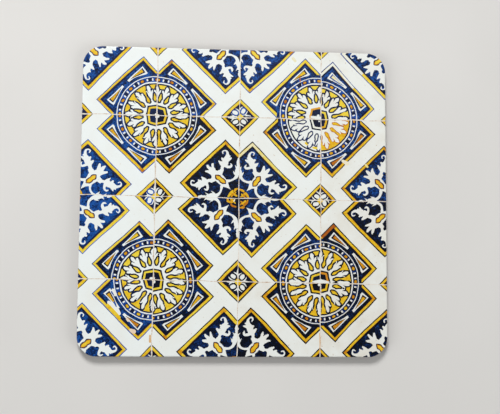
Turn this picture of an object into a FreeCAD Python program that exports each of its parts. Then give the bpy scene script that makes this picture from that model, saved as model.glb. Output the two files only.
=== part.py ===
import FreeCAD, Part
import os

# Printed coaster: one flat square plate of pressed board with rounded corners.
# Millimetres, +Z up, origin at the centre of the underside, +Y towards the top of the print.

SIDE = 95.0            # width and depth of the plate
THICKNESS = 3.0        # board with its gloss print coat
CORNER_RADIUS = 6.0    # rounded corners, seen from above
RIM_RADIUS = 0.4       # soft roll where the gloss coat runs over the upper edge
ARRIS = 0.3            # small flat taken off the lower edge of the board


def rounded_square(side, radius):
    """Closed outline at height zero: four straight sides joined by tangent quarter circles."""
    half = side / 2
    inset = half - radius
    middle_of_arc = inset + radius / 2 ** 0.5
    edges = []
    for quarter in range(4):
        turn = FreeCAD.Rotation(FreeCAD.Vector(0, 0, 1), 90 * quarter)
        side_start = turn.multVec(FreeCAD.Vector(half, -inset, 0))
        arc_start = turn.multVec(FreeCAD.Vector(half, inset, 0))
        arc_middle = turn.multVec(FreeCAD.Vector(middle_of_arc, middle_of_arc, 0))
        arc_end = turn.multVec(FreeCAD.Vector(inset, half, 0))
        edges.append(Part.LineSegment(side_start, arc_start).toShape())
        edges.append(Part.Arc(arc_start, arc_middle, arc_end).toShape())
    return Part.Wire(edges)


def edges_at_height(shape, height):
    """The edges of a shape that lie wholly at one height."""
    tolerance = 1e-6
    return [edge for edge in shape.Edges
            if abs(edge.BoundBox.ZMin - height) < tolerance
            and abs(edge.BoundBox.ZMax - height) < tolerance]


def coaster():
    """The plate, with its upper edge rolled over and its lower edge eased."""
    outline = Part.Face(rounded_square(SIDE, CORNER_RADIUS))
    plate = outline.extrude(FreeCAD.Vector(0, 0, THICKNESS))
    plate = plate.makeFillet(RIM_RADIUS, edges_at_height(plate, THICKNESS))
    return plate.makeChamfer(ARRIS, edges_at_height(plate, 0))


os.makedirs("parts", exist_ok=True)
coaster().exportStep("parts/coaster.step")
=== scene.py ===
"""The looks of a printed hardboard coaster: sixteen old painted wall tiles in print, and plain board."""
import math
import random

import bpy
import numpy as np
from mathutils import Matrix, Vector
from mathutils.geometry import delaunay_2d_cdt


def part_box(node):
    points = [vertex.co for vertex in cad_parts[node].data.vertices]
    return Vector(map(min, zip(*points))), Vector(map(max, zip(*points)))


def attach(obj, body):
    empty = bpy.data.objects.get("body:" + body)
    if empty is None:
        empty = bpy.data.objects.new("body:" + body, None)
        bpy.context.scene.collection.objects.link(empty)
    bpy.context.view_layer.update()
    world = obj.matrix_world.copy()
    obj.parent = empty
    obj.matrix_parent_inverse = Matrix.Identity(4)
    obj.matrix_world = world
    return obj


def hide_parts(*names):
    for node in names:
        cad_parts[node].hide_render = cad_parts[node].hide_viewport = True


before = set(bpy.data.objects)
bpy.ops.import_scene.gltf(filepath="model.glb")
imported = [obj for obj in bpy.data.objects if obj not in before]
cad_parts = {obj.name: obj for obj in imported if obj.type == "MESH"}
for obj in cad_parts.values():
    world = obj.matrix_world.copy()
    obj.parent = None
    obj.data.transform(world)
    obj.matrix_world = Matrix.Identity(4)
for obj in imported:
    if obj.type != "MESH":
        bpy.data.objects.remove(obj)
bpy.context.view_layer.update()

MM = 0.001
CORNER_RADIUS = 6.0  # of the plate's outline, in millimetres as in the frame's solid
RIM_RADIUS = 0.4  # of the roll between the top and the side
ARRIS = 0.3  # taken off the lower edge

low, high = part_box("coaster")
HALF_SIDE = (high.x - low.x) / 2 / MM
THICKNESS = (high.z - low.z) / MM


# The painted wall tiles
# All of the drawing below is in millimetres, on the plate's top face, with the origin at its middle.

# Joint lines as (place on the middle axis, lean per millimetre, width): the wall was not laid quite square.
UPRIGHT_JOINTS = ((-50.3, 0.006, 0.3), (-24.72, 0.006, 0.36), (1.14, 0.004, 0.24), (26.7, 0.005, 0.3),
                  (51.8, 0.016, 0.3))
LEVEL_JOINTS = ((51.1, -0.017, 0.3), (26.05, -0.002, 0.3), (0.83, -0.0078, 0.22), (-24.75, -0.0118, 0.26),
                (-50.1, -0.016, 0.3))
ROW_STRETCH = 1.012  # of the pattern along the rows

# Each tile's own hand: blue tone (0 bright cobalt, 1 deep navy), yellow tone (0 lemon, 1 orange)
# and how far its painting slipped on the tile, right and up.
TILE_HANDS = (
    ((0.25, 0.25, -0.1, 0.1), (0.35, 0.10, 0.2, -0.2), (0.30, 0.02, -0.8, 1.0), (0.30, 0.10, -0.9, 0.0)),
    ((0.20, 0.20, 0.1, -0.2), (0.80, 0.30, 0.1, 0.0), (0.50, 0.15, -0.3, -0.4), (0.45, 0.45, -0.9, -0.3)),
    ((0.15, 0.05, -0.4, 0.0), (0.65, 0.25, -0.1, 0.3), (0.55, 0.25, -0.2, 0.1), (0.85, 0.38, -0.3, 0.6)),
    ((0.30, 0.25, 0.3, 0.0), (0.65, 0.15, 0.2, -0.3), (0.95, 0.42, -0.1, -0.4), (0.85, 0.38, -0.3, 0.3)),
)
# Further slip of the leaf motif on some tiles, given as (column, row), right and up
LEAF_SLIPS = {(0, 0): (-0.1, -0.4), (1, 0): (-0.4, 0.2), (2, 0): (-0.3, -0.3), (3, 0): (-0.4, 0.4),
              (0, 1): (0.3, -0.6), (1, 1): (-0.2, 0.1), (0, 2): (0.3, -0.2), (1, 2): (-0.3, 0.1),
              (2, 2): (0.0, -0.2), (3, 2): (-0.1, -0.2), (0, 3): (-0.25, 0.1), (1, 3): (-0.3, -0.1),
              (2, 3): (-0.3, 0.1), (3, 3): (0.5, 0.0)}
DIAMOND_SLIP = 0.5  # of the small diamonds, as a share of their tile's
# Tiles painted differently: yellow and line of their petals and clubs, ring and line of their hub
ODD_CLUBS = {(2, 1): ("pale", "wash"), (3, 1): ("yellow", "ochre")}
ODD_HUBS = {(2, 0): ("ochre", "glaze"), (2, 1): ("pale", "navy"), (3, 2): ("ochre", "navy")}
DARK_CIRCLES = {(0, 2): 0.5}  # the blue of a circle quarter that is darker than the rest of its tile
GLAZE_CREAM = (0.1, 0.16, 0.05)  # tone of the first white, and what a column and a row add
HEAVY_HAND = (0.1, 0.7)  # chance of a heavier stroke at the brightest blue, and what navy adds
THIN_BLUE = 0.4  # tiles with less have thin lines of wash, not navy
PETAL_LEANS = (2.4, -2.6)  # degrees that petals are turned by
# The hand's slow, quicker and fine shake, as (size, waves by x, waves by y)
SHAKE_RIGHT = ((0.10, 0.0, 0.35), (0.05, 0.6, 1.1), (0.03, 2.9, 2.1))
SHAKE_UP = ((0.10, 0.33, 0.0), (0.05, 1.2, -0.7), (0.03, -2.3, 2.7))
SHAKE = 0.12  # of most strokes' points
WIDTH_SPREAD = (0.9, 1.1)  # of a stroke, as shares of its width


# Pen tools: every outline is a list of points

ROOT2 = math.sqrt(2)
CURVE_STEP = 0.42  # between the points of a stroke
THINNEST_LINE = 0.08
BROAD_END = 0.2  # half width above which an end takes five points
PAST_CORNER = 1.0  # how far a field runs on past its tile's corner
PAST_JOINT = 6  # degrees that a round field runs on past a joint


def straight(corners, step=1.6):
    """A closed outline with straight sides, with points along them so that a shaky hand can bend them."""
    outline = []
    for (ax, ay), (bx, by) in zip(corners, corners[1:] + corners[:1]):
        pieces = max(1, round(math.hypot(bx - ax, by - ay) / step))
        for k in range(pieces):
            outline.append((ax + (bx - ax) * k / pieces, ay + (by - ay) * k / pieces))
    return outline


def curve(points):
    """A smooth curve through a few set points; extra values, such as a width, are smoothed along."""
    last = len(points) - 1
    result = []
    for i in range(last):
        p0, p1, p2, p3 = (points[min(max(k, 0), last)] for k in range(i - 1, i + 3))
        pieces = max(2, round(math.hypot(p2[0] - p1[0], p2[1] - p1[1]) / CURVE_STEP))
        for k in range(pieces):
            t = k / pieces
            result.append(tuple(
                0.5 * (2 * b + (c - a) * t + (2 * a - 5 * b + 4 * c - d) * t * t
                       + (3 * b - a - 3 * c + d) * t ** 3)
                for a, b, c, d in zip(p0, p1, p2, p3)))
    result.append(points[-1])
    return result


def stroke(path, extra=0.0):
    """A brush stroke along points given as (x, y, width), round at both ends."""
    spine = curve(path)
    left = []
    right = []
    for i, (x, y, width) in enumerate(spine):
        before = spine[max(i - 1, 0)]
        after = spine[min(i + 1, len(spine) - 1)]
        dx, dy = after[0] - before[0], after[1] - before[1]
        length = math.hypot(dx, dy)
        half = max(width + extra, THINNEST_LINE) / 2
        nx, ny = -dy / length * half, dx / length * half
        left.append((x + nx, y + ny))
        right.append((x - nx, y - ny))
    return right + round_end(spine[-2], spine[-1], extra) + left[::-1] + round_end(spine[1], spine[0], extra)


def round_end(inner, end, extra):
    """The half circle that closes a stroke at its end."""
    heading = math.atan2(end[1] - inner[1], end[0] - inner[0])
    half = max(end[2] + extra, THINNEST_LINE) / 2
    turns = (-60, -30, 0, 30, 60) if half > BROAD_END else (-45, 0, 45)
    return [(end[0] + half * math.cos(heading + math.radians(t)),
             end[1] + half * math.sin(heading + math.radians(t))) for t in turns]


def round_spot(x, y, radius, sides=14):
    """A round dab of paint."""
    return [(x + radius * math.cos(math.tau * k / sides), y + radius * math.sin(math.tau * k / sides))
            for k in range(sides)]


def bent_line(corners, width):
    """A line of one width through three corners, square at both ends."""
    (ax, ay), (bx, by), (cx, cy) = corners
    outline = []
    for half in (width / 2, -width / 2):
        first = math.hypot(bx - ax, by - ay)
        second = math.hypot(cx - bx, cy - by)
        nx, ny = half * (ay - by) / first, half * (bx - ax) / first
        mx, my = half * (by - cy) / second, half * (cx - bx) / second
        side = [(ax + nx, ay + ny), (bx + nx + mx, by + ny + my), (cx + mx, cy + my)]
        outline += side if half > 0 else side[::-1]
    return outline


def arc(radius, start, end, step=3.5):
    """Points along an arc round a motif's centre, between two angles in degrees."""
    count = max(2, round(abs(end - start) / step))
    angles = [math.radians(start + (end - start) * k / count) for k in range(count + 1)]
    return [(radius * math.cos(t), radius * math.sin(t)) for t in angles]


def disc(radius):
    """The quarter of a round field that lies in one tile, with a little to spare."""
    return [(-2 * PAST_CORNER, -2 * PAST_CORNER)] + arc(radius, -PAST_JOINT, 90 + PAST_JOINT)


def corner_cut(reach):
    """A triangle across a tile's corner."""
    return straight([(-PAST_CORNER, -PAST_CORNER), (reach + PAST_CORNER, -PAST_CORNER),
                     (-PAST_CORNER, reach + PAST_CORNER)], step=1.2)


def diagonal(along, across):
    """A place given by its distance along a tile's diagonal from the motif's centre, and across it."""
    return ((along - across) / ROOT2, (along + across) / ROOT2)


def on_radius(degrees, *points):
    """A stroke along a radius, from points given as (radius, across, width)."""
    right, up = math.cos(math.radians(degrees)), math.sin(math.radians(degrees))
    return [(radius * right - across * up, radius * up + across * right, width)
            for radius, across, width in points]


def on_diagonal(*points):
    """A stroke along the tile's diagonal, from points given as (along, across, width)."""
    return [diagonal(along, across) + (width,) for along, across, width in points]


def mirrored(path):
    """The same stroke on the other side of its radius or diagonal."""
    return [(along, -across, width) for along, across, width in path]


def swapped(outline):
    """The same outline on the other side of the tile's diagonal."""
    return [(point[1], point[0]) + tuple(point[2:]) for point in outline]


# Wall tiles

# The motif at the other end of each motif's joint
ALONG_ROW = {"circle": "diamond_a", "diamond_a": "circle", "leaf": "diamond_b", "diamond_b": "leaf"}
ALONG_COLUMN = {"circle": "diamond_b", "diamond_b": "circle", "leaf": "diamond_a", "diamond_a": "leaf"}


def crossing(column, row):
    """Where an upright joint and a level joint meet."""
    x0, lean, _ = UPRIGHT_JOINTS[column]
    y0, fall, _ = LEVEL_JOINTS[row]
    y = (y0 + fall * x0) / (1 - fall * lean)
    return (x0 + lean * y, y)


def shake(waves, phases, x, y):
    """How far a shaking hand missed a place."""
    return sum(size * math.sin(by_x * x + by_y * y + phase)
               for (size, by_x, by_y), phase in zip(waves, phases))


class Tile:
    """One wall tile of the print: where its corners are and how its painter's hand shook."""

    def __init__(self, column, row):
        self.column = column
        self.row = row
        self.key = (column, row)
        self.blue, self.yellow, self.slip_x, self.slip_y = TILE_HANDS[row][column]
        self.line = "wash" if self.blue < THIN_BLUE else "navy"
        self.draw = random.Random(101 + 7 * column + 31 * row)
        self.phases = [self.draw.uniform(0, math.tau) for _ in range(6)]
        # Petals lean by turns from tile to tile, but all one way in the top row.
        self.turn = PETAL_LEANS[(column + row) % 2 if row else 0]
        # Circles are centred on every other crossing, so each tile has one quarter of a circle.
        near_x, near_y = (k + 1 - k % 2 for k in self.key)
        far_x, far_y = (k + k % 2 for k in self.key)
        self.crossings = {"circle": (near_x, near_y), "diamond_a": (far_x, near_y),
                          "leaf": (far_x, far_y), "diamond_b": (near_x, far_y)}
        self.corners = {motif: crossing(*place) for motif, place in self.crossings.items()}
        self.outline = list(self.corners.values())

    def tone(self, pigment, motif=None):
        """How deep a pigment is on this tile; the white is creamier to the right and downward."""
        if pigment == "glaze":
            first, by_column, by_row = GLAZE_CREAM
            return first + by_column * self.column + by_row * self.row
        if pigment not in ("blue", "navy", "wash"):
            return self.yellow
        return DARK_CIRCLES.get(self.key, self.blue) if motif == "circle" else self.blue

    def by_blue(self, least, more):
        """A measure that grows from the brightest blue to the deepest."""
        return least + more * self.blue

    def off(self, most):
        """A random amount to either side."""
        return self.draw.uniform(-most, most)

    def heavy(self):
        """Whether the painter's hand is heavier for one stroke, as it oftener is on the dark tiles."""
        return self.draw.random() < self.by_blue(*HEAVY_HAND)

    def place(self, a, b, motif):
        """The place on the plate of a point that is drawn along the tile's joints from a motif's centre."""
        x, y = self.corners[motif]
        ax, ay = self.corners[ALONG_ROW[motif]]
        bx, by = self.corners[ALONG_COLUMN[motif]]
        a *= ROW_STRETCH / math.hypot(ax - x, ay - y)
        b *= 1 / math.hypot(bx - x, by - y)
        x, y = x + (ax - x) * a + (bx - x) * b, y + (ay - y) * a + (by - y) * b
        right = shake(SHAKE_RIGHT, self.phases[:3], x, y)
        up = shake(SHAKE_UP, self.phases[3:], x, y)
        slip = 1.0 if motif in ("circle", "leaf") else DIAMOND_SLIP
        more_right, more_up = LEAF_SLIPS.get(self.key, (0, 0)) if motif == "leaf" else (0, 0)
        return (x + right + slip * self.slip_x + more_right, y + up + slip * self.slip_y + more_up)


# The painting is a list of (outline, pigment, tile, tone), with later ones on top.
painting = []


def paint(tile, pigment, outline, motif="circle", tone=None):
    """Lays one outline, drawn from the centre of a motif, on its tile."""
    places = [tile.place(a, b, motif) for a, b in outline]
    painting.append((places, pigment, tile, tile.tone(pigment, motif) if tone is None else tone))


def shaken(tile, path, amount=SHAKE):
    """A stroke's points moved a little, as no two strokes of a brush are alike."""
    return [(a + tile.off(amount), b + tile.off(amount), width * tile.draw.uniform(*WIDTH_SPREAD))
            for a, b, width in path]


# Frames

# Reach of a frame's long side, and half its length
FRAME_SIZES = {"circle": (15.76, 9.86), "leaf": (15.82, 9.88)}
OUTERMOST = (0, 3)  # columns and rows at the plate's edge
CORNER_SWELL = 0.4  # added reach of the corner tiles' circle frames
LEAF_TRIM = (-0.15, -0.2)  # added reach and half length of the outermost columns' leaf frames
FRAME_TILT = 0.016  # of the circle frames, opposite ways left and right
FRAME_LINE = (0.22, 0.17)  # outer line's width at the brightest blue, and what navy adds
BAND_WIDTHS = {"circle": 0.66, "leaf": 0.72}
BAND_SPREAD = (0.85, 1.15)  # shares of that width, by tile
RUN = 0.06  # of brown along the inner edge of the yellow band
INNER_LINE = 0.6  # width of the dark line inside the band
# Frames drawn askew: added reach, added half length and tilt
ODD_FRAMES = {(3, 0, "circle"): (-0.45, 0.1, 0.068), (3, 1, "circle"): (0.0, -0.15, 0.016),
              (1, 2, "circle"): (0.25, 0.0, -0.016), (3, 2, "circle"): (0.0, -0.2, 0.016),
              (3, 3, "circle"): (-0.1, -0.5, 0.03), (0, 2, "circle"): (0.0, -0.2, -0.016),
              (3, 0, "leaf"): (-0.2, 0.42, 0.0), (0, 0, "leaf"): (0.0, 0.0, 0.05),
              (1, 0, "leaf"): (0.0, -0.25, 0.0), (2, 3, "leaf"): (0.0, -0.25, 0.0)}
# Frames with a faded or burnt tip: side, pigment, tone, and how far down the short and along the long side
ODD_TIPS = {(3, 0, "circle"): [(1, "pale", 0.25, 9.0, 10.0)],
            (3, 0, "leaf"): [(-1, "pale", 0.35, 1.0, 9.0)],
            (2, 1, "leaf"): [(1, "pale", 1.3, 1.0, 13.0), (1, "pale", 0.8, 8.0, 5.0)],
            (3, 2, "circle"): [(1, "ochre", 1.0, 5.0, 0.8)]}
TIP_TONES = (0.5, 0.85)  # of other tips, deeper than their band
TIP_LENGTHS = (0.3, 1.5)


class Frame:
    """A rectangle set on a tile's diagonal, round one motif."""

    def __init__(self, tile, motif):
        self.tile = tile
        self.motif = motif
        lean = 0.0 if motif == "leaf" else FRAME_TILT if tile.column > 1 else -FRAME_TILT
        more, wider, self.tilt = ODD_FRAMES.get(tile.key + (motif,), (0.0, 0.0, lean))
        self.reach, self.half = FRAME_SIZES[motif]
        if motif == "circle" and tile.column in OUTERMOST and tile.row in OUTERMOST:
            self.reach += CORNER_SWELL
        if motif == "leaf" and tile.column in OUTERMOST:
            self.reach += LEAF_TRIM[0]
            self.half += LEAF_TRIM[1]
        self.reach += more
        self.half += wider
        self.line = tile.by_blue(*FRAME_LINE)
        self.band = self.line + BAND_WIDTHS[motif] * tile.draw.uniform(*BAND_SPREAD)

    def layer(self, pigment, inset):
        """Fills the frame, up to a distance inside its outer edge."""
        edge = self.half - inset
        corners = [diagonal(-PAST_CORNER, -edge)]
        corners += [diagonal(self.reach - inset + self.tilt * across, across) for across in (-edge, edge)]
        corners += [diagonal(-PAST_CORNER, edge)]
        paint(self.tile, pigment, straight(corners), self.motif)

    def tip(self, side, pigment, tone, down, inward):
        """Tints the band round one tip."""
        middle = (self.line + self.band) / 2
        across = side * (self.half - middle)
        end = self.reach - middle + self.tilt * across
        inner = across - side * inward
        corner = [diagonal(end - down, across), diagonal(end, across),
                  diagonal(end - self.tilt * side * inward, inner)]
        paint(self.tile, pigment, bent_line(corner, self.band - self.line), self.motif, tone)


def deep_tips(tile):
    """The tips of a frame that have deeper yellow, oftener on the darker tiles."""
    spans = (TIP_TONES, TIP_LENGTHS, TIP_LENGTHS)
    return [(side, "yellow", *(tile.draw.uniform(*span) for span in spans))
            for side in (-1, 1) if tile.heavy()]


def paint_frame(tile, motif):
    """A dark line, a yellow band browned along its inner edge, a dark line and the blue field."""
    frame_box = Frame(tile, motif)
    for pigment, inset in ((tile.line, 0.0), ("yellow", frame_box.line), ("ochre", frame_box.band - RUN),
                           ("navy", frame_box.band), ("blue", frame_box.band + INNER_LINE)):
        frame_box.layer(pigment, inset)
    for tip in ODD_TIPS.get(tile.key + (motif,)) or deep_tips(tile):
        frame_box.tip(*tip)


# Circle motif: the triangles and rings round it

TRIANGLE_OUTLINE = ([diagonal(13.84, 7.55), diagonal(11.3, 7.3)] + arc(13.05, 74, 54, 10)
                    + [diagonal(13.0, 1.05), diagonal(13.84, 1.05)])
TRIANGLE_INSIDE = [diagonal(13.55, 7.1), diagonal(11.95, 6.9), diagonal(12.7, 4.0), diagonal(13.45, 1.8)]
TRIANGLE_CORE = [diagonal(13.35, 6.65), diagonal(12.4, 6.5), diagonal(12.95, 4.2), diagonal(13.45, 2.2)]
CORE_TONES = (0.2, 0.55)  # added to the tile's yellow in the triangles' cores
FADED_TRIANGLE = (3, 0)  # tile on which one triangle's core is nearly white
RING_GROUND = 13.15  # radius of the blue that the rings lie on
OUTER_RING = (11.96, 12.22)
INNER_RING = (10.08, 10.48)
BAND_FLOOR = 10.62  # radius of the bead band's inner edge
FIELD_RADIUS = 9.65
PETAL_TURN = 22.5  # sixteen petals round the circle, and as many beads
# Blocks between the beads: inner and outer radius, and half width in degrees
BLOCKS = (("glaze", 10.86, 11.58, 5.2), ("navy", 10.6, 11.82, 3.0))
BLOCK_STEP = 6  # degrees between a block's points
BEAD = ((11.2, -0.18, 0.82), (11.2, 0.18, 0.82))  # as (radius, across, width)
BEAD_SHAKE = 1.0  # degrees
BEAD_LINE = 0.4  # added to a bead's width by the dark line round it
BEAD_TRIM = -0.12  # the same for the yellow inside
BEAD_TONES = (0.45, 0.95)


def paint_corner_triangles(tile):
    """Two long triangles between ring and frame: white outline, dark inside, yellow core."""
    for side in (list, swapped):
        faded = tile.key == FADED_TRIANGLE and side is list
        paint(tile, "glaze", side(straight(TRIANGLE_OUTLINE)))
        paint(tile, "wash" if faded else "navy", side(straight(TRIANGLE_INSIDE)))
        paint(tile, "pale" if faded else "yellow", side(straight(TRIANGLE_CORE)),
              tone=tile.yellow + tile.draw.uniform(*CORE_TONES))


def paint_rings(tile):
    """The bead band between two white rings."""
    paint(tile, "blue", disc(RING_GROUND))
    paint(tile, "glaze", disc(OUTER_RING[1]))
    paint(tile, "wash", disc(OUTER_RING[0]))
    for k in range(-1, 9):
        angle = PETAL_TURN / 2 * k + tile.off(BEAD_SHAKE)
        if k % 2:
            for pigment, inner, outer, half in BLOCKS:
                edges = [arc(radius, angle - half, angle + half, BLOCK_STEP) for radius in (outer, inner)]
                paint(tile, pigment, edges[0] + edges[1][::-1])
        else:
            bead = on_radius(angle, *BEAD)
            paint(tile, "navy", stroke(bead, BEAD_LINE))
            paint(tile, "yellow", stroke(bead, BEAD_TRIM), tone=tile.draw.uniform(*BEAD_TONES))
    paint(tile, "wash", disc(BAND_FLOOR))
    paint(tile, "glaze", disc(INNER_RING[1]))
    paint(tile, "navy", disc(INNER_RING[0]))


# Circle motif: petals and clubs, as (radius, across, width)

PETAL_SPINE = ((5.6, 0.0, 1.5), (6.8, 0.0, 1.75), (7.8, 0.0, 1.35), (8.6, 0.0, 1.05), (9.05, 0.0, 0.7))
PETAL_LOBE = ((6.2, 0.35, 0.95), (7.0, 0.75, 0.82), (7.7, 0.98, 0.6))
PETAL_SLIT = ((8.3, 0.66, 0.35), (7.9, 0.56, 0.22), (7.4, 0.42, 0.1))
PETAL_ROOT = 6.4  # inside this radius the petals run together
PETAL_SPREAD = 2.2  # degrees wider apart in the middle of the quarter
PETAL_SHAKE = 1.2  # degrees
OUTLINE = 0.92  # added to a stroke's width by the dark line round it
# Lines other than navy: share of the outline, and tone
LINE_HANDS = {"ochre": (0.5, 0.8), "wash": (0.85, 0.85)}
CLUB_SEED = ((6.8, 0.0, 0.1), (6.1, 0.0, 0.46), (5.4, 0.0, 0.78), (4.9, 0.0, 0.62), (4.6, 0.0, 0.25))
CLUB_NECK = ((8.6, 0.0, 1.3), (7.8, 0.0, 0.8), (7.2, 0.0, 0.42), (6.6, 0.0, 0.25))
NECK_EDGE = ((7.4, 0.0, 0.55), (7.1, 0.0, 0.42), (6.6, 0.0, 0.3))
CLUB_TIE = ((7.7, 0.0, 0.5), (7.2, 0.0, 0.32), (6.6, 0.0, 0.3))
HUB = ((-PAST_CORNER, 3.35), (0.0, 3.25), (2.65, 2.65), (3.25, 0.0), (3.35, -PAST_CORNER),
       (-PAST_CORNER, -PAST_CORNER))
HUB_SHAKE = 0.15
HUB_SHARES = (1.02, 0.87, 0.69)  # of its outline: line, ring and heart
HUB_SPOT = 0.2  # its white spot's distance from both joints
SPOT_RADII = (0.2, 0.6)


def petal_angle(tile, step):
    """The angle of one petal or gap of a tile's quarter: wider apart in the middle than at the joints."""
    even = PETAL_TURN * step
    spread = PETAL_SPREAD * math.sin(math.radians(4 * even))
    return even + tile.turn - spread + tile.off(PETAL_SHAKE)


def paint_petals(tile, line):
    """White flame petals on a yellow ring, with dark slits between their lobes."""
    strokes = []
    slits = []
    for k in range(-1, 6):
        angle = petal_angle(tile, k)
        for shape in (PETAL_SPINE, PETAL_LOBE, mirrored(PETAL_LOBE)):
            strokes.append(shaken(tile, on_radius(angle, *shape), amount=0.1))
        for slit in (PETAL_SLIT, mirrored(PETAL_SLIT)):
            slits.append(shaken(tile, on_radius(angle, *slit), amount=0.07))
    share, tone = LINE_HANDS.get(line, (1.0, None))
    for path in strokes:
        paint(tile, line, stroke(path, OUTLINE * share), tone=tone)
    for path in strokes:
        paint(tile, "glaze", stroke(path))
    paint(tile, "glaze", disc(PETAL_ROOT))
    for path in slits:
        paint(tile, line, stroke(path), tone=tone)


def paint_clubs(tile, yellow, line):
    """Yellow seeds with a line round them between the petals, some joined to the yellow ring by a neck."""
    share, tone = LINE_HANDS.get(line, (1.0, None))
    for k in range(-1, 5):
        angle = petal_angle(tile, k + 0.5)
        seed = shaken(tile, on_radius(angle, *CLUB_SEED), amount=0.08)
        joined = tile.heavy()
        if joined:
            paint(tile, line, stroke(on_radius(angle, *NECK_EDGE), OUTLINE * share), tone=tone)
        else:
            paint(tile, line, stroke(on_radius(angle, *CLUB_TIE)), tone=tone)
        paint(tile, line, stroke(seed, OUTLINE * share), tone=tone)
        if joined:
            paint(tile, yellow, stroke(on_radius(angle, *CLUB_NECK)))
        paint(tile, yellow, stroke(seed))


def paint_hub(tile):
    """The eight-sided ring at the circle's centre, with a dark heart."""
    corners = [(a + tile.off(HUB_SHAKE), b + tile.off(HUB_SHAKE)) for a, b in HUB]
    ring, line = ODD_HUBS.get(tile.key, ("yellow", "navy"))
    for pigment, size in zip((line, ring, "navy"), HUB_SHARES):
        paint(tile, pigment, straight([(a * size, b * size) for a, b in corners], step=1.0))
    paint(tile, "glaze", round_spot(HUB_SPOT, HUB_SPOT, tile.draw.uniform(*SPOT_RADII), sides=9))


def paint_circle(tile):
    """A quarter of a circle motif."""
    yellow, line = ODD_CLUBS.get(tile.key, ("yellow", "navy"))
    paint_frame(tile, "circle")
    paint_corner_triangles(tile)
    paint_rings(tile)
    paint(tile, yellow, disc(FIELD_RADIUS))
    paint_petals(tile, line)
    paint_clubs(tile, yellow, line)
    paint_hub(tile)


# Leaf motif: strokes on the tile's diagonal from the motif's centre, as (along, across, width)

LEAF_SLIM = -0.18  # taken off the width of every white stroke by the dark field round it
LEAF_STEM = ((3.8, 0, 0.2), (4.6, 0, 0.8), (5.4, 0, 1.5), (6.2, 0, 2.5), (7.4, 0, 3.0),
             (8.8, 0, 3.3), (9.8, 0, 3.4), (10.6, 0, 2.9), (11.3, 0, 2.3))
CENTRE_LOBE = ((11.0, 0, 2.0), (12.2, 0.05, 1.4), (13.0, 0.05, 1.1), (13.6, 0.05, 0.8))
SIDE_LOBE = ((11.2, 0.4, 1.6), (12.1, 1.05, 1.15), (12.8, 1.65, 0.85))
TIP_GAPS = (
    ((13.4, 0.95, 0.45), (12.6, 0.7, 0.25)),
    ((13.4, -0.8, 0.45), (12.7, -0.6, 0.25)),
)
LEAF_BODY = ((9.5, 1.0, 2.0), (10.0, 3.0, 1.5), (10.75, 4.5, 2.3), (11.2, 5.7, 2.1),
             (11.6, 6.6, 1.4), (12.2, 7.3, 0.95), (12.95, 7.6, 0.75), (13.55, 7.25, 0.7),
             (13.6, 6.6, 0.6), (13.1, 6.4, 0.45))
LEAF_LOBES = (
    ((11.0, 5.2, 1.5), (10.6, 6.35, 1.15), (10.3, 7.1, 0.6)),
    ((11.45, 6.4, 1.2), (11.15, 7.1, 0.7)),
    ((10.4, 3.75, 1.6), (11.35, 3.7, 1.2), (12.25, 3.75, 0.75)),
    ((11.1, 5.15, 1.5), (11.85, 5.15, 1.05), (12.3, 5.1, 0.75)),
)
LEAF_HOOK = ((10.3, 4.1, 1.3), (9.3, 4.4, 1.0), (8.65, 4.95, 0.85), (8.8, 5.65, 0.75),
             (9.35, 5.8, 0.45))
LEAF_ARC = ((6.9, 0.4, 1.2), (6.15, 1.5, 1.1), (5.55, 2.6, 1.25), (5.45, 3.8, 1.45),
            (5.9, 5.1, 1.7), (6.85, 6.3, 1.6))
LEAF_BUD = ((7.35, 7.35, 1.1), (8.05, 8.05, 1.4), (8.55, 8.55, 0.9))
LEAF_SPIKES = (
    ((6.6, 6.2, 0.9), (7.5, 6.3, 0.55), (8.1, 6.4, 0.2)),
    ((6.1, 4.5, 0.8), (6.8, 4.65, 0.5), (7.25, 4.7, 0.2)),
)
LEAF_BAY = ((11.0, 2.05, 1.4), (11.7, 2.3, 1.65), (12.7, 2.75, 1.7))
BLOB_MOUTH = ((7.3, 4.45, 1.3), (7.4, 5.5, 0.75), (7.7, 6.35, 0.6), (8.2, 7.2, 0.65))
LEAF_GAPS = (
    ((13.05, 7.0, 0.4), (12.7, 6.6, 0.3), (12.6, 6.1, 0.35), (12.85, 5.7, 0.5)),
    ((12.6, 4.4, 0.5), (11.7, 4.45, 0.25)),
    ((9.6, 6.6, 0.5), (9.95, 5.6, 0.25)),
)
# Round spots, with a radius as the width: the blue blob under the arc and the curl's eye
BLOB_SPOTS = ((7.3, 3.2, 1.75), (8.2, 3.8, 1.1), (9.25, 3.45, 0.65))
CURL_EYE = ((13.1, 6.95, 0.4),)
# The bone: half of its outline from the knot's end up, and its layers as shares of its length and width
BONE_MIDDLE = 8.0
BONE_HALF = ((-2.0, 0.12), (-1.3, 0.85), (-0.5, 0.95), (0.2, 0.75), (1.0, 1.0), (1.5, 0.75), (2.1, 0.12))
BONE_LAYERS = (("navy", 1.0, 1.0), ("ochre", 0.86, 0.64), ("yellow", 0.72, 0.46))
BONE_LEAN = 0.12  # at most, to either side
KNOT_RADIUS = 3.4  # of the dark ground under the knot
KNOT_STROKES = (
    ((0.4, 3.0, 0.4), (1.2, 2.75, 0.7), (1.7, 2.35, 0.5)),
    ((2.2, 1.95, 0.5), (2.65, 1.3, 0.8), (3.0, 0.4, 0.45)),
    ((2.0, 2.0, 0.55), (1.4, 1.3, 0.6), (0.8, 0.8, 0.4)),
    ((1.4, 1.2, 0.5), (0.8, 1.8, 0.4)),
    ((1.5, 1.4, 0.5), (2.0, 0.7, 0.5)),
)
KNOT_TONES = (0.3, 0.9)


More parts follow.
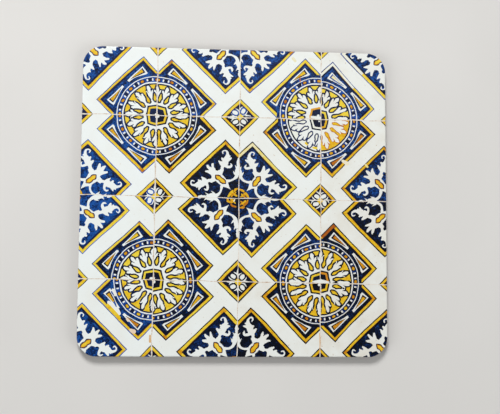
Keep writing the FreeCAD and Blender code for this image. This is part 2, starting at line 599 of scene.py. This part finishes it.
def paint_leaf(tile):
    """A quarter of a leaf motif: a white acanthus spray on blue, with a yellow bone and a middle knot."""
    paint_frame(tile, "leaf")

    def lay(pigment, outline, tone=None):
        paint(tile, pigment, outline, "leaf", tone)

    def white(path, amount=SHAKE):
        lay("glaze", stroke(shaken(tile, on_diagonal(*path), amount), LEAF_SLIM))

    def blue(path, amount=SHAKE):
        lay("blue", stroke(shaken(tile, on_diagonal(*path), amount)))

    def spots(pigment, places):
        for place in on_diagonal(*places):
            lay(pigment, round_spot(*place))

    white(LEAF_STEM, amount=0.05)
    for lobe in (CENTRE_LOBE, SIDE_LOBE, mirrored(SIDE_LOBE)):
        white(lobe)
    for side in (list, mirrored):
        for path in (LEAF_BODY, LEAF_ARC, LEAF_BUD) + LEAF_LOBES:
            white(side(path), amount=0.09)
        spots("blue", side(BLOB_SPOTS))
        blue(side(LEAF_BAY), amount=0.2)
        white(side(LEAF_HOOK))
        blue(side(BLOB_MOUTH))
        spots("wash", side(CURL_EYE))
        for spike in LEAF_SPIKES:
            white(side(spike))
        for gap in LEAF_GAPS:
            blue(side(gap), amount=0.06)
    for gap in TIP_GAPS:
        blue(gap)
    lean = tile.off(BONE_LEAN)
    for pigment, length, width in BONE_LAYERS:
        half = [(BONE_MIDDLE + along * length, across * width, lean * along) for along, across in BONE_HALF]
        outline = [diagonal(along, shift + across) for along, across, shift in half]
        outline += [diagonal(along, shift - across) for along, across, shift in reversed(half)]
        lay(pigment, straight(outline))
    lay("navy", disc(KNOT_RADIUS))
    for curl in KNOT_STROKES:
        lay("yellow", stroke(shaken(tile, curl, amount=0.25)), tile.draw.uniform(*KNOT_TONES))


# Small diamonds

DIAMOND_SIZES = {(1, 0): 1.08, (1, 2): 0.92, (3, 2): 0.87, (2, 3): 1.03}  # by joint crossing
USUAL_SIZE = 0.95  # of the other diamonds
DIAMOND_REACH = 6.35
DIAMOND_LINE = (0.28, 0.3)  # outer line's width at the brightest blue, and what navy adds
DIAMOND_FIELD = 4.8
DIAMOND_RUN = 0.15  # of brown round the field
DIAMOND_LEAF = ((1.25, 2.65, 0.15), (0.7, 2.4, 0.36), (0.3, 1.9, 0.46), (0.2, 1.1, 0.3))
DIAMOND_STEM = ((0.0, 3.6, 0.2), (0.1, 2.8, 0.4), (0.15, 2.2, 0.46))
STEM_CHANCE = 0.5
OVAL_PLACE = 2.05  # along the diagonal from the diamond's middle
OVAL_SHAKE = 0.15
OVAL_LEAN = 0.2  # at most, to either side
OVAL_HALF = 0.25  # half of its stroke's length
OVAL_WIDTH = 1.2
OVAL_LINE = 0.85  # added to its width by the line round it
HEART_SIZES = (0.9, 1.5)


def paint_diamond(tile, motif):
    """The quarter of a small diamond at one of the tile's two other corners."""
    size = DIAMOND_SIZES.get(tile.crossings[motif], USUAL_SIZE)
    for pigment, reach in (("navy", DIAMOND_REACH), ("yellow", DIAMOND_REACH - tile.by_blue(*DIAMOND_LINE)),
                           ("ochre", DIAMOND_FIELD + DIAMOND_RUN), ("navy", DIAMOND_FIELD)):
        paint(tile, pigment, corner_cut(size * reach), motif)
    for side in (list, swapped):
        paint(tile, "glaze", stroke(shaken(tile, side(DIAMOND_LEAF))), motif)
        if tile.draw.random() < STEM_CHANCE:
            paint(tile, "glaze", stroke(shaken(tile, side(DIAMOND_STEM), amount=0.1)), motif)
    middle = size * (OVAL_PLACE + tile.off(OVAL_SHAKE))
    lean = tile.off(OVAL_LEAN)
    oval = on_diagonal((middle - OVAL_HALF, -lean, OVAL_WIDTH), (middle + OVAL_HALF, lean, OVAL_WIDTH))
    paint(tile, tile.line, stroke(oval, OVAL_LINE), motif)
    paint(tile, "glaze", stroke(oval), motif)
    paint(tile, "yellow", corner_cut(tile.draw.uniform(*HEART_SIZES)), motif)


tiles = [Tile(column, row) for row in range(4) for column in range(4)]
for tile in tiles:
    painting.append((tile.outline, "glaze", tile, tile.tone("glaze")))
    paint_circle(tile)
    paint_leaf(tile)
    paint_diamond(tile, "diamond_a")
    paint_diamond(tile, "diamond_b")


# Joints and damage lie over the tiles

JOINT_PIECES = 40
JOINT_TURNS = 100  # what the waves count along a whole joint
JOINT_SWAYS = ((0.07, 0.5), (0.04, 1.7))  # size of a wave, and its turn
JOINT_SWELL = (0.3, 0.9)  # the same for the width, as a share
JOINT_SPREAD = 0.2  # of the width, as a share


def wavy_line(start, end, mean_width, seed):
    """Points along a joint line that wanders a little."""
    draw = random.Random(seed)
    drift = [draw.uniform(0, math.tau) for _ in range(3)]
    level = abs(end[0] - start[0]) > abs(end[1] - start[1])
    points = []
    for k in range(JOINT_PIECES + 1):
        t = k / JOINT_PIECES
        along = t * JOINT_TURNS
        sway = sum(size * math.sin(turn * along + phase) for (size, turn), phase in zip(JOINT_SWAYS, drift))
        swell = JOINT_SWELL[0] * math.sin(JOINT_SWELL[1] * along + drift[2])
        width = mean_width * (1 + swell + draw.uniform(-JOINT_SPREAD, JOINT_SPREAD))
        x = start[0] + (end[0] - start[0]) * t
        y = start[1] + (end[1] - start[1]) * t
        points.append((x, y + sway, width) if level else (x + sway, y, width))
    return points


for k in (1, 2, 3):
    upright = wavy_line(crossing(k, 0), crossing(k, 4), UPRIGHT_JOINTS[k][2], 300 + k)
    level = wavy_line(crossing(0, k), crossing(4, k), LEVEL_JOINTS[k][2], 400 + k)
    painting.append((stroke(upright), "joint", None, 0.0))
    painting.append((stroke(level), "joint", None, 0.0))

# Wear of the old wall, as (pigment, tone) and a stroke of (x, y, width) on the plate
WEAR = (
    # Lower left: the ring and the frame rubbed away, with two chips
    ("glaze", 0.5, (-36.9, -27.6, 0.9), (-36.2, -28.9, 1.1)),
    ("wash", 0.2, (-37.3, -28.2, 0.5), (-36.7, -29.1, 0.3)),
    ("glaze", 0.5, (-38.1, -31.3, 1.0), (-36.3, -32.9, 1.7), (-35.0, -34.6, 1.2)),
    ("wash", 0.1, (-36.6, -31.2, 0.35), (-35.8, -32.6, 0.25)),
    ("yellow", 0.2, (-38.4, -32.0, 0.7), (-36.3, -34.2, 0.8), (-34.7, -35.8, 0.6)),
    ("chip", 0.4, (-32.5, -36.2, 0.7), (-32.2, -36.8, 0.6)),
    ("chip", 0.5, (-31.3, -39.6, 1.0), (-30.4, -40.0, 1.3)),
    # A drip beside a joint below it, and rust in a joint lower right
    ("chip", 1.0, (-25.5, -41.2, 0.6), (-25.5, -43.0, 0.7)),
    ("chip", 1.0, (26.3, -40.2, 0.25), (26.4, -43.6, 0.3), (26.3, -46.0, 0.2)),
    # Right of the middle: a chip on one frame and gaps in two others
    ("chip", 0.0, (33.7, 13.0, 0.9), (35.1, 12.2, 1.3)),
    ("glaze", 0.5, (12.1, 11.9, 0.4), (12.6, 11.4, 0.4)),
    ("pale", 0.8, (41.0, 11.9, 0.7), (41.5, 11.3, 0.7)),
    # Upper right: a brown streak across the ring, and faint stains on the white
    ("ochre", 1.0, (20.1, 39.6, 0.3), (20.25, 37.9, 0.4)),
    ("navy", 0.6, (20.25, 37.4, 0.5), (20.4, 36.6, 0.5)),
    ("pale", 0.6, (17.9, 45.3, 0.9), (18.6, 44.4, 0.9)),
    ("pale", 0.3, (23.3, 45.0, 1.2), (26.2, 44.3, 1.0)),
    # Two last yellow gaps in a circle left white
    ("yellow", 0.1, (22.0, 18.4, 0.7), (22.5, 17.9, 0.5)),
    ("yellow", 0.1, (24.4, 17.0, 0.6), (25.3, 16.9, 0.8)),
    # A pale spot in the middle knot
    ("glaze", 0.5, (-0.2, 0.3, 0.35), (-0.4, -0.15, 0.3)),
    # White patches in the hearts of the two right-hand circles
    ("glaze", 0.5, (23.8, 26.7, 0.7), (26.4, 26.5, 0.9)),
    ("glaze", 0.5, (24.2, -24.6, 0.4), (26.7, -24.45, 1.1), (29.2, -24.7, 0.4)),
)
for pigment, tone, *path in WEAR:
    painting.append((stroke(path), pigment, None, tone))


# The plate

ARC_STEPS = 18  # sides of each rounded corner
RIM_TURNS = (0, 22.5, 45, 67.5, 90)  # degrees round the rim, from the top to the side
CUT_PRECISION = 1e-4
PIGMENTS = ("glaze", "blue", "navy", "wash", "yellow", "ochre", "pale", "joint", "chip", "board")


def plate_outline(inset=0.0):
    """The plate's rounded square, moved inward, as a ring of points that runs anticlockwise."""
    flat = HALF_SIDE - CORNER_RADIUS
    radius = CORNER_RADIUS - inset
    ring = []
    for quarter, (sx, sy) in enumerate(((1, 1), (-1, 1), (-1, -1), (1, -1))):
        for k in range(ARC_STEPS + 1):
            t = math.radians(90 * (quarter + k / ARC_STEPS))
            ring.append((sx * flat + radius * math.cos(t), sy * flat + radius * math.sin(t)))
    return ring


def edge_distance(places):
    """How far each place lies inside the plate's outline, and the way outward there."""
    signs = np.where(places < 0, -1.0, 1.0)
    beyond = np.abs(places) - (HALF_SIDE - CORNER_RADIUS)
    in_corner = (beyond > 0).all(axis=1)
    nearest = beyond.argmax(axis=1)
    outward = np.eye(2)[nearest]
    reach = np.hypot(beyond[:, 0], beyond[:, 1])
    outward[in_corner] = beyond[in_corner] / reach[in_corner, None]
    distance = np.where(in_corner, CORNER_RADIUS - reach, CORNER_RADIUS - beyond.max(axis=1))
    return np.maximum(distance, 0), outward * signs


def clipped(outline, region):
    """The part of an outline inside a convex region whose corners run anticlockwise."""
    for (ax, ay), (bx, by) in zip(region, region[1:] + region[:1]):
        kept = []
        for (px, py), (qx, qy) in zip(outline[-1:] + outline[:-1], outline):
            before = (bx - ax) * (py - ay) - (by - ay) * (px - ax)
            after = (bx - ax) * (qy - ay) - (by - ay) * (qx - ax)
            if (before >= 0) != (after >= 0):
                t = before / (before - after)
                kept.append((px + (qx - px) * t, py + (qy - py) * t))
            if after >= 0:
                kept.append((qx, qy))
        outline = kept
    return outline


def anticlockwise(corners):
    """The same corners, turned round if they run clockwise."""
    area = sum(ax * by - bx * ay for (ax, ay), (bx, by) in zip(corners, corners[1:] + corners[:1]))
    return corners if area > 0 else corners[::-1]


def covers(outline, places):
    """Which places an outline goes round, counting a brush stroke that crosses itself as filled."""
    a = np.array(outline)
    b = np.roll(a, -1, axis=0)
    x = places[:, :1]
    y = places[:, 1:]
    side = (b[:, 0] - a[:, 0]) * (y - a[:, 1]) - (x - a[:, 0]) * (b[:, 1] - a[:, 1])
    rising = (a[:, 1] <= y) & (b[:, 1] > y) & (side > 0)
    falling = (a[:, 1] > y) & (b[:, 1] <= y) & (side < 0)
    return rising.sum(axis=1) != falling.sum(axis=1)


def cut_print():
    """Cuts the plate's top along every outline of the painting.

    Gives the places of the cut's points, its triangles, and each triangle's pigment and tone."""
    plate = plate_outline()
    regions = {tile: clipped(anticlockwise(tile.outline), plate) for tile in tiles}
    regions[None] = plate
    shapes = []
    points = []
    lines = []

    def draw_ring(ring):
        first = len(points)
        points.extend(Vector(point) for point in ring)
        lines.extend((first + k, first + (k + 1) % len(ring)) for k in range(len(ring)))

    for turn in RIM_TURNS:
        draw_ring(plate_outline(RIM_RADIUS * (1 - math.sin(math.radians(turn)))))
    for outline, pigment, tile, tone in painting:
        inside = clipped(outline, regions[tile])
        if len(inside) > 2:
            shapes.append((inside, pigment, tile, tone))
            draw_ring(inside)
    places, _, triangles, *_ = delaunay_2d_cdt(points, lines, [], 0, CUT_PRECISION)
    places = np.array([tuple(place) for place in places])
    triangles = np.array(triangles)
    middles = places[triangles].mean(axis=1)
    pigment_of = np.zeros(len(triangles), int)
    tone_of = np.zeros(len(triangles))
    for tile, region in regions.items():
        mine = np.flatnonzero(covers(region, middles))
        for outline, pigment, owner, tone in shapes:
            if owner is not tile:
                continue
            ring = np.array(outline)
            in_box = (middles[mine] >= ring.min(axis=0)) & (middles[mine] <= ring.max(axis=0))
            near = mine[in_box.all(axis=1)]
            hit = near[covers(outline, middles[near])]
            pigment_of[hit] = PIGMENTS.index(pigment)
            tone_of[hit] = tone
    return places, triangles, pigment_of, tone_of


def outer_ring(triangles):
    """The points along the rim of a cut sheet, in order."""
    edges = [edge for a, b, c in triangles.tolist() for edge in ((a, b), (b, c), (c, a))]
    inner = {(b, a) for a, b in edges}
    follow = {a: b for a, b in edges if (a, b) not in inner}
    start = next(iter(follow))
    ring = [start]
    while follow[ring[-1]] != start:
        ring.append(follow[ring[-1]])
    return ring


# The flat map that the finish can be baked on, as shares of its width
MAP_EDGE = 0.006
PRINT_SHARE = 0.85  # the print
BACK_SHARE = 0.12  # the underside
STRIPS = 4  # rows that the side is cut into
STRIP_START = 0.872
STRIP_STEP = 0.031
WALL_SHARE = 0.022
ARRIS_SHARE = 0.004


def flat_map(places, triangles, side, foot):
    """Where each corner of each face lies on the flat map: print large, side in strips, underside small."""
    square = [MAP_EDGE + PRINT_SHARE * (places[triangles] / (2 * HALF_SIDE) + 0.5)]
    steps = np.linalg.norm(np.roll(side, -1, axis=0) - side, axis=1)
    ends = np.cumsum(steps) / steps.sum() * STRIPS
    starts = ends - steps / steps.sum() * STRIPS
    strip = np.floor((starts + ends) / 2)
    left, right = (2 * MAP_EDGE + (1 - 4 * MAP_EDGE) * (place - strip) for place in (starts, ends))
    arris_low = STRIP_START + STRIP_STEP * strip
    wall_low = arris_low + ARRIS_SHARE
    for below, above in ((wall_low, wall_low + WALL_SHARE), (arris_low, wall_low)):
        corners = ((right, above), (left, above), (left, below), (right, below))
        square.append(np.stack([np.column_stack(corner) for corner in corners], axis=1))
    back = np.stack([np.roll(foot, -1, axis=0), foot, np.zeros_like(foot)], axis=1)
    back_middle = np.array((1 - MAP_EDGE - BACK_SHARE / 2, MAP_EDGE + BACK_SHARE / 2))
    square.append(back_middle + BACK_SHARE * back / (2 * HALF_SIDE))
    return np.vstack([corners.reshape(-1, 2) for corners in square])


def put_in_scene(name, data):
    """A new object in the scene."""
    thing = bpy.data.objects.new(name, data)
    bpy.context.scene.collection.objects.link(thing)
    return thing


def build_coaster():
    """The whole plate as one closed mesh: printed top and rolled rim, plain side, arris and underside."""
    places, triangles, pigment_of, tone_of = cut_print()
    ring = outer_ring(triangles)
    distance, outward = edge_distance(places)
    distance[ring] = 0
    lean = np.clip(1 - distance / RIM_RADIUS, 0, 1)
    rise = np.sqrt(1 - lean ** 2)
    top = np.column_stack([places, THICKNESS - RIM_RADIUS + RIM_RADIUS * rise])
    top_normals = np.column_stack([outward * lean[:, None], rise])

    side = places[ring]
    way = outward[ring]
    foot = side - way * ARRIS
    count = len(ring)
    lower = [np.column_stack([place, np.full(count, height)])
             for place, height in ((side, ARRIS), (foot, 0.0))]
    points = np.vstack([top] + lower + [[(0.0, 0.0, 0.0)]])
    wall_start = len(top)
    foot_start = wall_start + count
    centre = foot_start + count

    faces = triangles.tolist()
    normals = [top_normals[triangles].reshape(-1, 3)]
    level = np.column_stack([way, np.zeros(count)])
    sloped = np.column_stack([way, -np.ones(count)]) / ROOT2
    down = np.tile((0.0, 0.0, -1.0), (count, 1))
    following = [(k + 1) % count for k in range(count)]
    rings = (ring, range(wall_start, foot_start), range(foot_start, centre))
    for upper, under in zip(rings, rings[1:]):
        faces += [(upper[n], upper[k], under[k], under[n]) for k, n in enumerate(following)]
    for k, n in enumerate(following):
        faces.append((foot_start + n, foot_start + k, centre))
    for around in (level, sloped):
        quads = np.stack([around[following], around, around, around[following]], axis=1)
        normals.append(quads.reshape(-1, 3))
    normals.append(np.repeat(down, 3, axis=0))

    mesh = bpy.data.meshes.new("printed_coaster")
    mesh.from_pydata((points * MM).tolist(), [], faces)
    bare = len(faces) - len(triangles)
    paints = np.append(pigment_of, np.full(bare, PIGMENTS.index("board")))
    mesh.polygons.foreach_set("material_index", paints)
    tones = mesh.attributes.new("tone", "FLOAT", "FACE")
    tones.data.foreach_set("value", np.append(tone_of, np.zeros(bare)))
    flat = mesh.uv_layers.new(name="OFBake")
    flat.data.foreach_set("uv", flat_map(places, triangles, side, foot).ravel())
    mesh.shade_smooth()
    mesh.normals_split_custom_set(np.vstack(normals).tolist())
    return put_in_scene("printed_coaster", mesh)


# Materials

def srgb(red, green, blue):
    """A colour as a screen shows it, in the linear values that shaders take."""
    channels = [c / 255 for c in (red, green, blue)]
    linear = [c / 12.92 if c <= 0.04045 else ((c + 0.055) / 1.055) ** 2.4 for c in channels]
    return (*linear, 1.0)


class Nodes:
    """A material's node tree, with short ways to add to it."""

    def __init__(self, name):
        self.material = bpy.data.materials.new(name)
        self.material.use_nodes = True
        self.tree = self.material.node_tree
        self.shader = self.tree.nodes["Principled BSDF"]
        self.shader.inputs["Specular IOR Level"].default_value = 0.25
        self.place = self.add("ShaderNodeTexCoord").outputs["Object"]

    def add(self, kind, **settings):
        node = self.tree.nodes.new(kind)
        for key, value in settings.items():
            setattr(node, key, value)
        return node

    def link(self, source, target):
        self.tree.links.new(source, target)

    def noise(self, size, detail=2.0, roughness=0.5, stretch=(1, 1, 1)):
        """Soft noise whose blotches are about the given size in millimetres."""
        mapping = self.add("ShaderNodeMapping")
        mapping.inputs["Scale"].default_value = [s / (size * MM) for s in stretch]
        self.link(self.place, mapping.inputs["Vector"])
        noise = self.add("ShaderNodeTexNoise")
        noise.inputs["Scale"].default_value = 1.0
        noise.inputs["Detail"].default_value = detail
        noise.inputs["Roughness"].default_value = roughness
        self.link(mapping.outputs["Vector"], noise.inputs["Vector"])
        return noise.outputs["Fac"]

    def math(self, operation, a, b, c=None):
        node = self.add("ShaderNodeMath", operation=operation)
        for socket, value in zip(node.inputs, (a, b, c)):
            if isinstance(value, (int, float)):
                socket.default_value = value
            elif value is not None:
                self.link(value, socket)
        return node.outputs["Value"]

    def share(self, value, part):
        """A value times a number."""
        return self.math("MULTIPLY", value, part)

    def finish(self, fac, *stops):
        """Colours the surface by a value, through stops given as (place, colour)."""
        node = self.add("ShaderNodeValToRGB")
        elements = node.color_ramp.elements
        while len(elements) < len(stops):
            elements.new(0.5)
        for element, (place, colour) in zip(elements, stops):
            element.position = place
            element.color = srgb(*colour)
        self.link(fac, node.inputs["Fac"])
        self.link(node.outputs["Color"], self.shader.inputs["Base Color"])
        return self.material

    def tone(self):
        """How deep this tile's paint is, stored on the faces."""
        return self.add("ShaderNodeAttribute", attribute_name="tone").outputs["Fac"]

    def gloss(self, low, high, size=2.5):
        """Roughness that varies a little over the surface."""
        node = self.add("ShaderNodeMapRange")
        node.inputs["To Min"].default_value = low
        node.inputs["To Max"].default_value = high
        self.link(self.noise(size), node.inputs["Value"])
        self.link(node.outputs["Result"], self.shader.inputs["Roughness"])

    def bump(self, height, distance):
        """A fine relief of the given depth in millimetres."""
        node = self.add("ShaderNodeBump")
        node.inputs["Strength"].default_value = 0.5
        node.inputs["Distance"].default_value = distance * MM
        self.link(height, node.inputs["Height"])
        self.link(node.outputs["Normal"], self.shader.inputs["Normal"])


def printed(name, swing, blotch, *stops):
    """Printed paint: a colour that swings round the tile's tone in blotches, under a clear gloss."""
    nodes = Nodes(name)
    cloud = nodes.math("ADD", nodes.noise(blotch, 3.0, 0.6), nodes.noise(blotch * 0.3, 2.0, 0.6))
    depth = nodes.math("MULTIPLY_ADD", nodes.math("SUBTRACT", cloud, 1.0), swing, nodes.tone())
    nodes.gloss(0.22, 0.3)
    return nodes.finish(depth, *stops)


def glaze_white():
    """White glaze, creamier on some tiles, with faint cloudiness and a few warm specks."""
    nodes = Nodes("glaze")
    cloud = nodes.share(nodes.math("SUBTRACT", nodes.noise(5.0, 3.0), 0.5), 0.6)
    specks = nodes.share(nodes.math("GREATER_THAN", nodes.noise(0.7, 1.0), 0.75), 0.45)
    depth = nodes.math("ADD", nodes.math("MULTIPLY_ADD", nodes.tone(), 0.7, cloud), specks)
    nodes.gloss(0.2, 0.28)
    return nodes.finish(depth, (0.0, (243, 249, 247)), (0.4, (239, 241, 235)), (0.65, (230, 226, 214)),
                        (1.0, (206, 186, 164)))


def cobalt_blue():
    """Brushed cobalt, from thin and bright to nearly black where it lies thick."""
    return printed("blue", 2.0, 1.7, (0.0, (26, 84, 162)), (0.3, (13, 51, 110)), (0.6, (8, 27, 61)),
                   (1.0, (5, 8, 18)))


def line_navy():
    """The painter's dark line."""
    return printed("navy", 0.9, 1.6, (0.0, (20, 42, 86)), (0.5, (12, 20, 44)), (1.0, (7, 9, 17)))


def blue_wash():
    """Thin blue under the beads and in the lines of the bright tiles."""
    return printed("wash", 0.9, 1.6, (0.0, (40, 98, 186)), (0.3, (26, 74, 156)), (0.6, (16, 48, 112)),
                   (1.0, (10, 26, 66)))


def brushed_yellow():
    """Yellow, from lemon to the orange of a thick stroke."""
    return printed("yellow", 0.9, 1.6, (0.0, (243, 218, 72)), (0.35, (236, 193, 34)), (0.7, (220, 156, 24)),
                   (1.0, (186, 106, 20)))


def burnt_ochre():
    """Ochre, where the yellow ran together or burnt."""
    return printed("ochre", 0.8, 1.5, (0.0, (230, 166, 46)), (0.5, (212, 134, 32)), (1.0, (172, 88, 24)))


def pale_wash():
    """Yellow that faded nearly to white."""
    return printed("pale", 0.9, 3.0, (0.0, (240, 243, 234)), (0.5, (239, 237, 216)), (1.0, (238, 217, 112)))


def tile_joint():
    """Mortar lines: warm grey, with rusty specks."""
    nodes = Nodes("joint")
    depth = nodes.math("ADD", nodes.share(nodes.noise(2.0, 3.0), 0.6), nodes.share(nodes.noise(0.5), 0.4))
    nodes.gloss(0.24, 0.32)
    return nodes.finish(depth, (0.3, (240, 238, 230)), (0.5, (230, 222, 210)), (0.62, (208, 186, 164)),
                        (0.76, (164, 118, 88)))


def bare_clay():
    """Chipped glaze, from cream to the tan of the fired clay."""
    return printed("chip", 0.7, 0.9, (0.0, (241, 234, 206)), (0.5, (238, 214, 190)), (1.0, (226, 182, 132)))


def hardboard():
    """Pressed wood fibre of the side and back."""
    nodes = Nodes("board")
    fibre = nodes.math("ADD", nodes.share(nodes.noise(0.35, 3.0, 0.7, (1, 1, 2.5)), 0.55),
                       nodes.share(nodes.noise(4.0, 3.0), 0.45))
    nodes.gloss(0.6, 0.75, 0.6)
    nodes.bump(fibre, 0.05)
    return nodes.finish(fibre, (0.25, (40, 27, 20)), (0.55, (74, 52, 38)), (0.8, (104, 78, 58)))


def dress(coaster):
    """Gives the coaster its materials, in the order of the pigments."""
    for material in (glaze_white, cobalt_blue, line_navy, blue_wash, brushed_yellow, burnt_ochre, pale_wash,
                     tile_joint, bare_clay, hardboard):
        coaster.data.materials.append(material())


coaster = build_coaster()
dress(coaster)
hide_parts("coaster")
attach(coaster, "root")


# Floor

FLOOR_REACH = 1.5  # metres


def pale_floor():
    """A plain pale floor under the coaster."""
    mesh = bpy.data.meshes.new("floor")
    corners = [(x * FLOOR_REACH, y * FLOOR_REACH, 0) for x, y in ((-1, -1), (1, -1), (1, 1), (-1, 1))]
    mesh.from_pydata(corners, [], [(0, 1, 2, 3)])
    nodes = Nodes("floor")
    nodes.gloss(0.7, 0.8, 40.0)
    material = nodes.finish(nodes.noise(60.0), (0.3, (222, 220, 216)), (0.7, (227, 225, 221)))
    mesh.materials.append(material)
    floor = put_in_scene("floor", mesh)


# Camera and light

PHOTO_WIDTH = 500  # pixels
FOCAL_PIXELS = 1000  # the photograph's focal length in pixels
MIDDLE_AWAY = (25, -35)  # pixels from the lens axis to the middle of the picture, right and up
CAMERA_PLACE = (-29.9, -24.0, 306.1)  # millimetres from the middle of the top face
CAMERA_BACK = (-0.0863, -0.1064, 0.9906)
CAMERA_UP = (-0.0179, 0.9943, 0.1053)
# Lamps as (name, place in metres, size, share): how bright a white sheet would look by that lamp alone
LAMPS = (
    ("window", (-0.12, 0.45, 0.55), 0.22, 0.55),
    ("fill_left", (-0.8, -0.3, 0.6), 0.6, 0.14),
    ("fill_right", (0.8, -0.4, 0.6), 0.6, 0.12),
    ("sheen", (0.14, 0.24, 0.9), 0.25, 0.02),
)
STUDIO_TINT = (0.96, 0.98, 1.0, 1.0)
STUDIO_STRENGTH = 0.16


def set_camera():
    """The camera at the photograph's viewing angle."""
    camera = bpy.data.cameras.new("camera")
    camera.sensor_width = 36.0
    camera.lens = camera.sensor_width * FOCAL_PIXELS / PHOTO_WIDTH
    camera.shift_x = MIDDLE_AWAY[0] / PHOTO_WIDTH
    camera.shift_y = MIDDLE_AWAY[1] / PHOTO_WIDTH
    camera.clip_start = 0.01
    holder = put_in_scene("camera", camera)
    back = Vector(CAMERA_BACK).normalized()
    right = Vector(CAMERA_UP).cross(back).normalized()
    up = back.cross(right)
    turn = Matrix((right, up, back)).transposed().to_4x4()
    place = (Vector(CAMERA_PLACE) + Vector((0, 0, THICKNESS))) * MM
    holder.matrix_world = Matrix.Translation(place) @ turn
    bpy.context.scene.camera = holder


def add_lamp(name, place, size, share):
    """A square soft lamp that faces the coaster."""
    toward = Vector(place)
    lamp = bpy.data.lights.new(name, "AREA")
    lamp.size = size
    lamp.energy = share * math.pi ** 2 * toward.length ** 3 / toward.z
    holder = put_in_scene(name, lamp)
    holder.location = toward
    holder.rotation_euler = (-toward).to_track_quat("-Z", "Y").to_euler()


def set_light():
    """Soft studio light, most of it from beyond the coaster's far edge."""
    for lamp in LAMPS:
        add_lamp(*lamp)
    world = bpy.data.worlds.new("studio")
    world.use_nodes = True
    background = world.node_tree.nodes["Background"].inputs
    background["Color"].default_value = STUDIO_TINT
    background["Strength"].default_value = STUDIO_STRENGTH
    bpy.context.scene.world = world


pale_floor()
set_camera()
set_light()
bpy.context.scene.view_settings.view_transform = "Standard"
